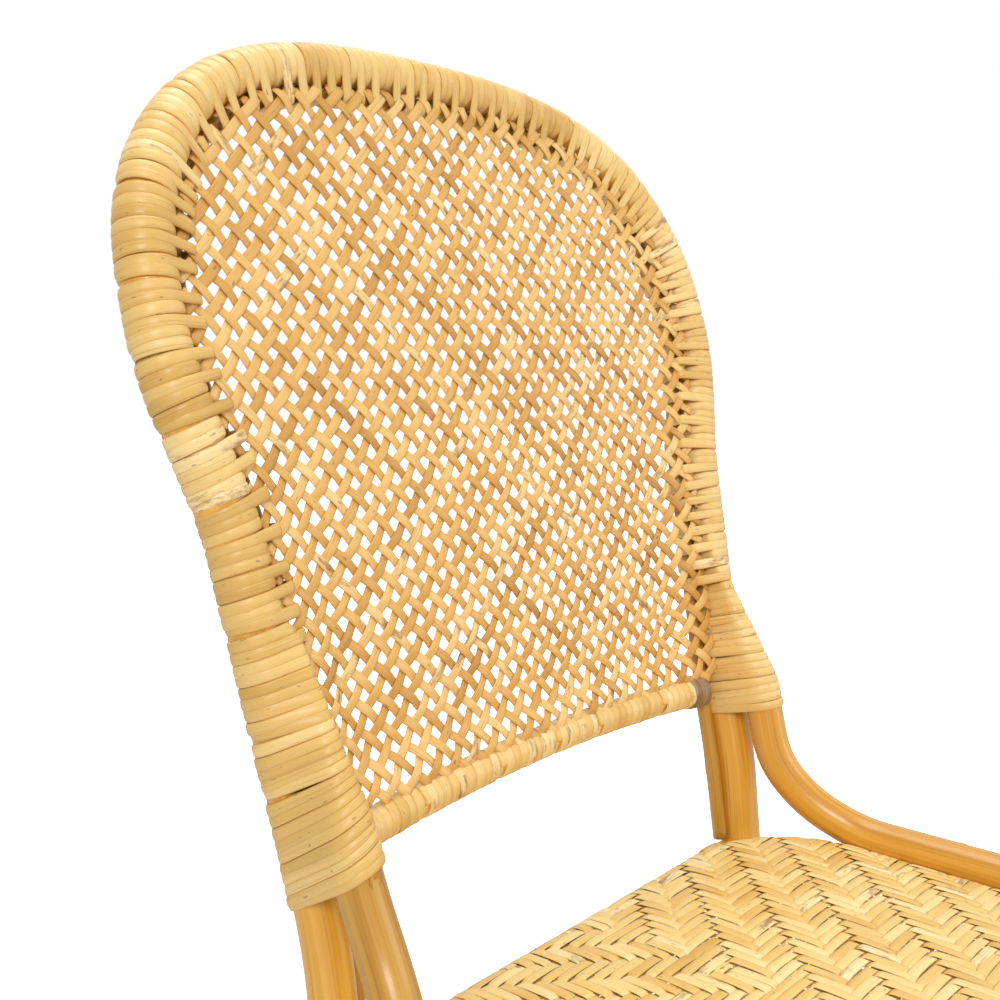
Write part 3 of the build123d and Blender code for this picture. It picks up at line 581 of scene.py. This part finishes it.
# stations along the hoop line from the low end on the left side, over the top
low_t = np.linspace(-0.250, FOOT_T, 14)[:-1]
half_line = np.concatenate([np.stack([hoop_side(low_t), low_t], 1), half])
full = np.concatenate([half_line, half_line[::-1][1:] * np.array([-1, 1])])
full_even = even(full, 0.003)
LAST = len(full_even) - 1
run_total = np.linalg.norm(np.diff(full_even, axis=0), axis=1).sum()
station_run = np.linspace(0, run_total, LAST + 1)
station_in = inward(full_even)
station_depth = hoop_depth(full_even[:, 1])


def brace_circle(x, t, depth):
    """Where the brace stands beside the hoop at a height, and how thick it is there."""
    local = to_back(left_side if x > 0 else right_side)
    local = local[local[:, 1] > -0.262]
    order = np.argsort(local[:, 1])
    bx, bn = [np.interp(t, local[order, 1], local[order, k]) for k in (0, 2)]
    gone = SIDE_R - float(brace_radius(t))
    return (abs(x) - abs(bx) + TAPER_IN * gone, bn - gone - depth), SIDE_R + 0.0002 - gone


def station_circles(x, t, depth):
    """The circles that a short turn and a long turn go round at a station."""
    low_share = min(1, max(0, (CORNER_T - t) / 0.07))
    post = 0.0131 + (0.0014 if x > 0 else -0.0011) * low_share
    top = float(crown_share(t))
    short = [((-CROWN_OUT * top, CROWN_FORWARD * top), post - CROWN_THINNER * top)]
    begun = float(smooth((-0.070 - t) / 0.050))
    if begun > 0:
        (a, b), radius = brace_circle(x, t, depth)
        short.append(((a * begun, b * begun), radius))
    longer = [((a + da * top, b + db * top), r + dr * top) for a, b, r, da, db, dr in LONG_TURN]
    return short, short + longer


# outline and outward directions of the short turns, then of the long ones
hull_tables = [[], [], [], []]
for (x, t), depth in zip(full_even, station_depth):
    outlines = [hull_outline(circles) for circles in station_circles(x, t, depth)]
    for table, rows in zip(hull_tables, outlines[0] + outlines[1]):
        table.append(rows)
hull_tables = [np.array(table) for table in hull_tables]
for table in (hull_tables[0], hull_tables[2]):
    for _ in range(3):
        table[1:-1] = (table[:-2] + table[1:-1] * 2 + table[2:]) / 4


def rim_surface(s, turn, h, reach):
    """A place on the wrap: distance along the hoop, share of the way round, height over poles."""
    def station(at):
        i = np.clip(at / run_total * LAST, 0, LAST - 0.001)
        return i.astype(int), (i - i.astype(int))[..., None]

    s = np.clip(s, 0, run_total)
    i0, fi = station(s)
    f = (turn % 1.0) * HULL
    j0 = np.minimum(f.astype(int), HULL - 1)
    fj = (f - j0)[..., None]

    def pick(table):
        a = table[i0, j0] * (1 - fj) + table[i0, j0 + 1] * fj
        b = table[i0 + 1, j0] * (1 - fj) + table[i0 + 1, j0 + 1] * fj
        return a * (1 - fi) + b * fi
    near = pick(hull_tables[0]) + pick(hull_tables[1]) * h[..., None]
    far = pick(hull_tables[2]) + pick(hull_tables[3]) * h[..., None]
    share = np.broadcast_to(reach, near.shape[:-1])[..., None]
    p = near * (1 - share) + far * share
    # the turns at the right corner slope, with their front side high
    tilt = 0.36 * smooth((s - (run_total - 0.120)) / 0.085)
    moved = s - tilt * ((p[..., 0] - 0.006) * 0.67 + (p[..., 1] - 0.010) * 0.74)
    i0, fi = station(moved)
    base = full_even[i0] * (1 - fi) + full_even[i0 + 1] * fi
    way = station_in[i0] * (1 - fi) + station_in[i0 + 1] * fi
    depth = np.interp(moved, station_run, station_depth)
    xt = base + way * p[..., :1]
    return on_back(xt[..., 0], xt[..., 1], depth + p[..., 1])


# ---------------------------------------------------------------- peel round the hoop
PEEL, PEEL_PITCH = 0.0023, 0.0056
WIDER = 1.10
LEVEL = 0.00018


def wind(surface, start, end, pitch, thick, per_turn=48, jitter=0.04, reach=None, tones=None):
    """Peel turns from start to end along a surface, each strand a few turns long."""
    strands = []
    edges = [start]
    while edges[-1] < end - pitch * 0.6:
        edges.append(edges[-1] + pitch * rng.uniform(1 - 2 * jitter, 1 + 2 * jitter))
    edges = start + (np.array(edges) - start) * (end - start) / (edges[-1] - start)
    turns = len(edges) - 1
    k = 0
    while k < turns:
        count = min(int(rng.integers(5, 12)), turns - k)
        if turns - k - count < 3:
            count = turns - k
        marks = np.arange(count + 1)
        along = np.arange(count * per_turn + 1) / per_turn
        mids = (edges[k:k + count] + edges[k + 1:k + count + 1]) / 2
        s = np.interp(along, marks[:-1] + 0.5, mids)
        width = np.interp(along, marks[:-1] + 0.5, np.diff(edges[k:k + count + 1])) * WIDER
        lift = thick * 0.10 + np.interp(along, marks, rng.uniform(-LEVEL, LEVEL, count + 1))
        # both ends dive under the neighbours
        ends = np.minimum(along, count - along)
        lift = lift - np.clip(0.25 - ends, 0, 1) * thick * 1.6
        # a slow waver keeps the turns from lying like thread on a screw
        s = s + pitch * 0.06 * np.sin(along * TURN * 0.37 + rng.uniform(0, 6))
        if tones is None:
            strand_tone = rng.uniform(0.25, 0.85)
            tone = np.clip(strand_tone + rng.uniform(-0.28, 0.28, count + 1), 0.02, 1.0)
        else:
            tone = rng.uniform(*tones, count + 1)
        tone = np.interp(along, marks, tone)
        reaches = np.array([reach(k + c) if reach else 0.0 for c in range(count)])
        bulge = reaches[np.clip(along, 0, count - 1e-6).astype(int)][:, None]

        def place(u, v, h, bulge=bulge):
            return surface(u, v, h, bulge)
        one, zero = np.ones_like(s), np.zeros_like(s)
        outline = section(12, 0.8, 0.9)
        strands.append(lay(place, s, along, one, zero, width, thick, lift, tone, outline))
        k += count
    return strands


# every second or third turn is long and takes in the inner rod and the net's edge
turn_plan = []
while len(turn_plan) < 400:
    turn_plan += [0.0, 1.0] if rng.random() < 0.6 else [0.0, 0.0, 1.0]


def corner_turn(index):
    """Every fourth turn of a corner reaches a quarter of the way to the inner rod."""
    return 0.25 if index % 4 == 3 else 0.0


half_count = len(full_even) // 2
low_end, corner_end = [
    float(np.interp(t, full_even[:half_count, 1], station_run[:half_count]))
    for t in (WRAP_LOW_T, CORNER_T)]
lap_end = corner_end + 0.0005
rim_turns = wind(rim_surface, corner_end, run_total - corner_end, PEEL_PITCH, PEEL,
                 reach=turn_plan.__getitem__)
build("rim_peel", rim_turns, peel, ["rim_wrap"])
# the left corner's turns take only the paler half of the tones: painted light that lifts a corner
# the lamps leave in shade
left_turns = wind(rim_surface, low_end, lap_end, 0.0055, PEEL, 72, reach=corner_turn,
                  tones=(0.5, 1.0))
build("corner_peel_left", left_turns, peel, ["left_corner_binding"])
right_turns = wind(rim_surface, run_total - lap_end, run_total - low_end, 0.0052, PEEL, 72,
                   reach=corner_turn)
build("corner_peel_right", right_turns, peel, ["right_corner_binding"])

# ---------------------------------------------------------------- bottom rail, its wrap and tie
RAIL_END, RAIL_R, RAIL_PEEL = 0.1625, 0.008, 0.0024
rail_x = np.linspace(-RAIL_END, RAIL_END, 90)
rail_share = 1 - (rail_x / RAIL_END) ** 2
# bowed up and back in its middle, and a little higher at its left end
rail_t = -0.2105 + 0.007 * rail_share + 0.0026 * rail_x / RAIL_END
rail_route = on_back(rail_x, rail_t, -0.0012 - 0.0082 * rail_share)


def round_surface(route, radius):
    """A surface round a gently bent pole."""
    route = even(route, 0.003)
    run = run_along(route)
    way = unit(np.gradient(route, axis=0))
    up = np.array([0, 0, 1.0]) if abs(way[0][2]) < 0.8 else np.array([1.0, 0, 0])
    side = unit(np.cross(way, up))
    other = np.cross(side, way)

    def surface(s, turn, h, _):
        def pick(table):
            return np.stack([np.interp(s, run, column) for column in table.T], -1)
        a = (turn * TURN)[..., None]
        return pick(route) + (pick(side) * np.cos(a) + pick(other) * np.sin(a)) * (
            radius + h)[..., None]
    return surface, run[-1]


build("rail_pole", [tube(rail_route, RAIL_R, 24)], pole_mat, ["bottom_back_rail"])
rail_surface, rail_run = round_surface(rail_route, RAIL_R + 0.0003)
rail_turns = wind(rail_surface, 0, rail_run, 0.0062, RAIL_PEEL, 36, 0.10)
build("rail_peel", rail_turns, peel, ["rail_wrap"])
tie_surface, _ = round_surface(rail_route, RAIL_R + 0.0018)
tie_turns = wind(tie_surface, rail_run - 0.0185, rail_run - 0.0015, 0.0034, 0.0018, 40, 0.12,
                 tones=(0.2, 0.8))
build("tie_peel", tie_turns, tie_mat, ["rail_tie"])

# ---------------------------------------------------------------- woven back
# half of the way from one crossing to the next, measured level
CELL = 0.0077025
BOW_ACROSS, BOW_UP = 2.875, 2.226
NET_LOW = -0.2005
NET_THICK, NET_LIFT, NET_STEP = 0.0014, 0.00080, 0.0019

edge_in = EDGE_IN - EDGE_CLOSER * crown_share(full_even[:, 1])
net_xt = full_even + station_in * edge_in[:, None]
inside_top = net_xt[(full_even[:, 1] > -0.206)]
NET_TOP = inside_top[:, 1].max()
edge_line = net_xt[::2]


def half_width(t):
    """Half width of the woven field, up to the hoop's inner shoulder."""
    side = inside_top[inside_top[:, 0] >= 0]
    order = np.argsort(side[:, 1])
    return np.interp(t, side[order, 1], side[order, 0], right=0.0)


def inside_net(x, t):
    return (np.abs(x) < half_width(t)) & (t < NET_TOP) & (t > NET_LOW)


def net_surface(x, t, h):
    """The net's sheet, which comes forward over the inner rod and over the rail."""
    flat = np.stack([np.ravel(x), np.ravel(t)], 1)
    inside = np.min(np.linalg.norm(flat[:, None] - edge_line[None], axis=2), axis=1)
    inside = inside.reshape(np.shape(x))
    inside = np.where((np.abs(x) > half_width(t)) | (t > NET_TOP), -inside, inside)
    edge = hoop_depth(t) + 0.0062 - 0.0030 * np.clip(inside / 0.012, 0, 1)
    share = 1 - smooth((inside - 0.0065) / 0.034)
    field = x ** 2 / (2 * BOW_ACROSS) - t ** 2 / (2 * BOW_UP)
    over_rail = smooth((-0.172 - t) / 0.024) * 0.0058 * (1 - share)
    dive = np.clip((0.0005 - inside) / 0.004, 0, 1) * 0.005
    return on_back(x, t, field * (1 - share) + edge * share + over_rail - dive + h)


def wave(s, length):
    """A sine along a strand with a start of its own."""
    return np.sin(s * TURN / length + rng.uniform(0, 6))


def net_strands():
    """Strands of the two diagonal families, over one and under one."""
    strands = []
    slant = 1 / math.sqrt(2)
    for family in (1, -1):
        for k in range(-40, 40):
            # the line x + family * t = c
            c = (2 * k + 1) * CELL
            s = np.arange(-0.36, 0.36, NET_STEP)
            x = c / 2 + s * slant
            t = family * (c / 2 - s * slant)
            keep = inside_net(x, t)
            if keep.sum() < 5:
                continue
            first, last = max(np.argmax(keep) - 1, 0), len(keep) - np.argmax(keep[::-1])
            x, t, s = x[first:last + 1], t[first:last + 1], s[first:last + 1]
            # crossings lie where x - family * t is an odd count of cells
            crossing = ((x - family * t) / CELL - 1) / 2
            phase = family * np.cos(math.pi * crossing) * (1 if k % 2 == 0 else -1)
            lift = NET_LIFT * np.sign(phase) * np.abs(phase) ** 0.85
            waver = 0.0004 * wave(s, 0.11) + 0.0002 * wave(s, 0.037)
            du, dv = np.full_like(x, slant), np.full_like(x, family * slant)
            tone = rng.uniform(0.1, 0.9) + 0.12 * wave(s, rng.uniform(0.05, 0.2))
            tone = np.clip(np.clip(tone, 0, 1) - 0.03 * family, 0, 1)
            width = rng.uniform(0.0053, 0.0059) if family == 1 else rng.uniform(0.0056, 0.0062)
            strands.append(lay(net_surface, x + du * waver, t + dv * waver, du, dv, width,
                               NET_THICK, lift, tone, section(10, 0.7, 0.7)))
    return strands


build("woven_back", net_strands(), cane, ["back_cane_panel"])

# ---------------------------------------------------------------- woven seat
ring_low, ring_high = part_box("seat_ring_rod")
RING_R = 0.010
SEAT_X = ring_high.x - RING_R
SEAT_Y0, SEAT_Y1 = ring_low.y + RING_R, ring_high.y - RING_R + 0.003
SEAT_Z = (ring_low.z + ring_high.z) / 2
SEAT_MY, SEAT_HY = (SEAT_Y0 + SEAT_Y1) / 2, (SEAT_Y1 - SEAT_Y0) / 2
SEAT_CORNER = 0.072
ROLL_R = 0.0118
PITCH = 0.0064
# the herringbone turns round at this strand
MIRROR_X = -0.0095
FIRST_WEFT = 0.0022
SEAT_THICK, SEAT_LIFT, SEAT_STEP = 0.0010, 0.0012, 0.0016


def past_ring(x, y):
    """How far a place of the flat sheet lies past the ring's line, and its corner parts."""
    qx = np.abs(x) - (SEAT_X - SEAT_CORNER)
    qy = np.abs(y - SEAT_MY) - (SEAT_HY - SEAT_CORNER)
    length = np.hypot(np.maximum(qx, 0), np.maximum(qy, 0))
    corner = (qx > 0) & (qy > 0)
    return np.where(corner, length, np.maximum(qx, qy)) - SEAT_CORNER, qx, qy, corner, length


def seat_surface(x, y, h):
    """The sheet: flat weave places folded over the ring's roll."""
    dist, qx, qy, corner, length = past_ring(x, y)
    length = np.maximum(length, 1e-9)
    nx = np.where(corner, qx / length, np.where(qx > qy, 1.0, 0.0)) * np.sign(x)
    ny = np.where(corner, qy / length, np.where(qx > qy, 0.0, 1.0)) * np.sign(y - SEAT_MY)
    over = np.maximum(dist, 0)
    angle = np.minimum(over / ROLL_R, math.pi * 1.02)
    # back along the normal to the ring line, then round the roll
    out = (ROLL_R + h) * np.sin(angle) - over
    crowned = 0.0045 * (1 - (1 - np.clip(-dist / 0.11, 0, 1)) ** 2) * (dist < 0)
    rear = 0.0008 * smooth((y - SEAT_Y1 + 0.10) / 0.08)
    z = SEAT_Z + (ROLL_R + h) * np.cos(angle) + rear + crowned
    return np.stack([x + nx * out, y + ny * out, z], -1)


def smooth_over(phase):
    """1 over strands 0 to 3 and -1 under strands 4 to 7, with a low crown on each float."""
    near = np.where(phase > 5.5, phase - 8, phase) - 1.5
    rise = 1 / (1 + np.exp((np.abs(near) - 2.0) * 7.5))
    crown_over = np.clip(1 - (near / 2.0) ** 2, 0, 1)
    crown_under = np.clip(1 - ((np.abs(near) - 4) / 2.0) ** 2, 0, 1)
    return 2 * rise - 1 + 0.25 * (crown_over - crown_under)


def seat_strands():
    """Twill over four and under four, turned round at the mirror line."""
    strands = []
    edge = ROLL_R * math.pi
    for along_x in (True, False):
        span = (SEAT_X if along_x else SEAT_HY) + edge
        cross = (SEAT_HY if along_x else SEAT_X) + 0.030
        count = int(cross / PITCH) + 2
        for j in range(-count, count + 1):
            v0 = j * PITCH + FIRST_WEFT if along_x else MIRROR_X + (j + 0.5) * PITCH
            if abs(v0 - (SEAT_MY if along_x else 0)) > cross:
                continue
            s = np.arange(-span, span, SEAT_STEP)
            fixed_at = np.full_like(s, v0)
            x, y = (s, fixed_at) if along_x else (fixed_at, s + SEAT_MY)
            keep = past_ring(x, y)[0] < edge * np.where(y > SEAT_Y1 - 0.02, 0.60, 0.97)
            if keep.sum() < 8:
                continue
            first, last = np.argmax(keep), len(keep) - 1 - np.argmax(keep[::-1])
            x, y, s = x[first:last + 1], y[first:last + 1], s[first:last + 1]
            # wefts count warps from the mirror line, warps count wefts
            if along_x:
                lift = smooth_over((np.abs((x - MIRROR_X) / PITCH) - 0.5 - j + 2) % 8)
            else:
                own = abs(j + 0.5) - 0.5
                lift = -smooth_over((own - (y - FIRST_WEFT) / PITCH + 2) % 8)
            waver = 0.0005 * wave(s, 0.13) + rng.uniform(-0.0003, 0.0003)
            one, zero = np.ones_like(x), np.zeros_like(x)
            du, dv = (zero, one) if along_x else (one, zero)
            tone = rng.uniform(0.2, 0.92) + 0.12 * wave(s, rng.uniform(0.06, 0.2))
            width = PITCH * rng.uniform(0.97, 1.06) * (1 - 0.04 * (lift < 0))
            strands.append(lay(seat_surface, x + du * waver, y + dv * waver, du, dv, width,
                               SEAT_THICK, SEAT_LIFT * lift, np.clip(tone, 0, 1),
                               section(8, 0.6, 0.8)))
    return strands


build("seat_weave", seat_strands(), seat_cane, ["woven_seat"])

# ---------------------------------------------------------------- peel round the joints
BIND_PITCH, BIND_PEEL = 0.0046, 0.0021


def joint_wrap(name, jobs, nodes):
    """Bindings, each from a start towards an end, round a radius and as long as it says."""
    strands = []
    for start, end, radius, length in jobs:
        start, end = np.array(start, float), np.array(end, float)
        way = unit(end - start)
        line = np.array([start, start + way * length / 2, start + way * length])
        surface, run = round_surface(line, radius + 0.0003)
        strands += wind(surface, 0, run, BIND_PITCH, BIND_PEEL, 32, 0.08)
    build(name, strands, peel, nodes)


def across_pair(name, node, radius, length, z=None):
    """The bindings at both ends of a pole that runs across the chair."""
    low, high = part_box(node)
    y = (low.y + high.y) / 2
    z = (low.z + high.z) / 2 if z is None else z
    jobs = [((side * high.x, y, z), (0, y, z), radius, length) for side in (1, -1)]
    joint_wrap(name, jobs, [node])


RAIL_Z, SEAT_RAIL_R, STRETCHER_R, BIND_LONG = 0.4319, 0.010, 0.009, 0.0245
across_pair("rear_rail_peel", "rear_rail_bindings", SEAT_RAIL_R, 0.0155, RAIL_Z)
across_pair("front_rail_peel", "front_rail_bindings", SEAT_RAIL_R, BIND_LONG, RAIL_Z)
across_pair("cross_peel", "cross_stretcher_bindings", STRETCHER_R, BIND_LONG)
# the side stretchers run between the legs' axes at this height
STRETCHER_Z = 0.205
rear_share = STRETCHER_Z / 0.318
front_share = STRETCHER_Z / ARM_Z
st_rear = in_front(0.188 - 0.004 * rear_share, 0.055 + 0.029 * rear_share, STRETCHER_Z)
st_front = in_front(FRONT_X - 0.005 * front_share, 0.500 - 0.005 * front_share, STRETCHER_Z)
st_jobs = []
for side in (1, -1):
    rear, front = [place * np.array([side, 1, 1]) for place in (st_rear, st_front)]
    way = unit(front - rear)
    start = rear + way * 0.0160
    st_jobs += [(start, front - way * 0.0160, STRETCHER_R, BIND_LONG),
                (front - way * 0.0150, start, STRETCHER_R, BIND_LONG)]
joint_wrap("stretcher_peel", st_jobs, ["stretcher_bindings"])

# ---------------------------------------------------------------- floor, light and camera
FLOOR_HALF = 9.0
corners = [(x * FLOOR_HALF, y * FLOOR_HALF, 0) for x, y in ((-1, -1), (1, -1), (1, 1), (-1, 1))]
floor_mesh = bpy.data.meshes.new("floor")
floor_mesh.from_pydata(corners, [], [(0, 1, 2, 3)])
floor = bpy.data.objects.new("floor", floor_mesh)
bpy.context.scene.collection.objects.link(floor)
fl = Nodes("floor_paper")
at = fl.object_place()
paper = fl.ramp(fl.noise(at, 3.0, 2, 0.5), [(0.2, srgb(248, 248, 248)), (0.8, srgb(252, 252, 252))])
fl.put(fl.shader, "Base Color", paper)
fl.put(fl.shader, "Roughness", 0.9)
# the floor turns white away from the chair, and keeps the shadow round it
away = fl.add("ShaderNodeVectorMath", {0: at}, operation="LENGTH").outputs["Value"]
glow_range = {"Value": away, "From Min": 0.4, "From Max": 1.7, "To Min": 0.22, "To Max": 1.0}
glow = fl.add("ShaderNodeMapRange", glow_range).outputs["Result"]
camera_ray = fl.add("ShaderNodeLightPath").outputs["Is Camera Ray"]
fl.put(fl.shader, "Emission Color", (1, 1, 1, 1))
fl.put(fl.shader, "Emission Strength", fl.math("MULTIPLY", camera_ray, glow))
floor_mesh.materials.append(fl.mat)

world = bpy.data.worlds.new("studio")
bpy.context.scene.world = world
world.use_nodes = True
tree = world.node_tree
back = tree.nodes["Background"]
back.inputs["Color"].default_value = (1.0, 0.985, 0.96, 1)
back.inputs["Strength"].default_value = 0.44
white = tree.nodes.new("ShaderNodeBackground")
white.inputs["Color"].default_value = (1, 1, 1, 1)
white.inputs["Strength"].default_value = 1.0
path = tree.nodes.new("ShaderNodeLightPath")
shown = path.outputs["Is Camera Ray"]
for ray in ("Is Transmission Ray", "Is Glossy Ray"):
    either = tree.nodes.new("ShaderNodeMath")
    either.operation = "MAXIMUM"
    tree.links.new(shown, either.inputs[0])
    tree.links.new(path.outputs[ray], either.inputs[1])
    shown = either.outputs[0]
blend = tree.nodes.new("ShaderNodeMixShader")
for socket, output in enumerate((shown, back.outputs[0], white.outputs[0])):
    tree.links.new(output, blend.inputs[socket])
tree.links.new(blend.outputs[0], tree.nodes["World Output"].inputs["Surface"])


def area(name, place, target, size, power, colour=(1, 1, 1)):
    """A square lamp at a place that looks at a target."""
    light = bpy.data.lights.new(name, "AREA")
    light.shape = "SQUARE"
    light.size = size
    light.energy = power
    light.color = colour
    obj = bpy.data.objects.new(name, light)
    obj.location = place
    obj.rotation_euler = (Vector(target) - Vector(place)).to_track_quat("-Z", "Y").to_euler()
    bpy.context.scene.collection.objects.link(obj)


area("key", (-1.9, -1.7, 2.3), (0, 0, 0.75), 1.1, 44, (1, 0.98, 0.95))
area("fill", (1.8, -2.4, 1.5), (0, 0, 0.7), 1.6, 17, (1, 0.99, 0.97))
area("top", (0.2, 0.4, 2.9), (0, 0.1, 0.6), 1.4, 24)

CAMERA_PLACE = (-0.5139, -0.2534, 0.7805)
cam_data = bpy.data.cameras.new("view")
cam_data.lens = 42.16
cam_data.sensor_width = 36
cam = bpy.data.objects.new("view", cam_data)
ahead = Vector((0.735, 0.666, -0.128)).normalized()
right = Vector((0.671, -0.741, -0.005))
right = (right - ahead * right.dot(ahead)).normalized()
turned = Matrix((right, right.cross(ahead), -ahead)).transposed()
cam.matrix_world = Matrix.Translation(CAMERA_PLACE) @ turned.to_4x4()
bpy.context.scene.collection.objects.link(cam)
bpy.context.scene.camera = cam
bpy.context.scene.view_settings.view_transform = "Standard"
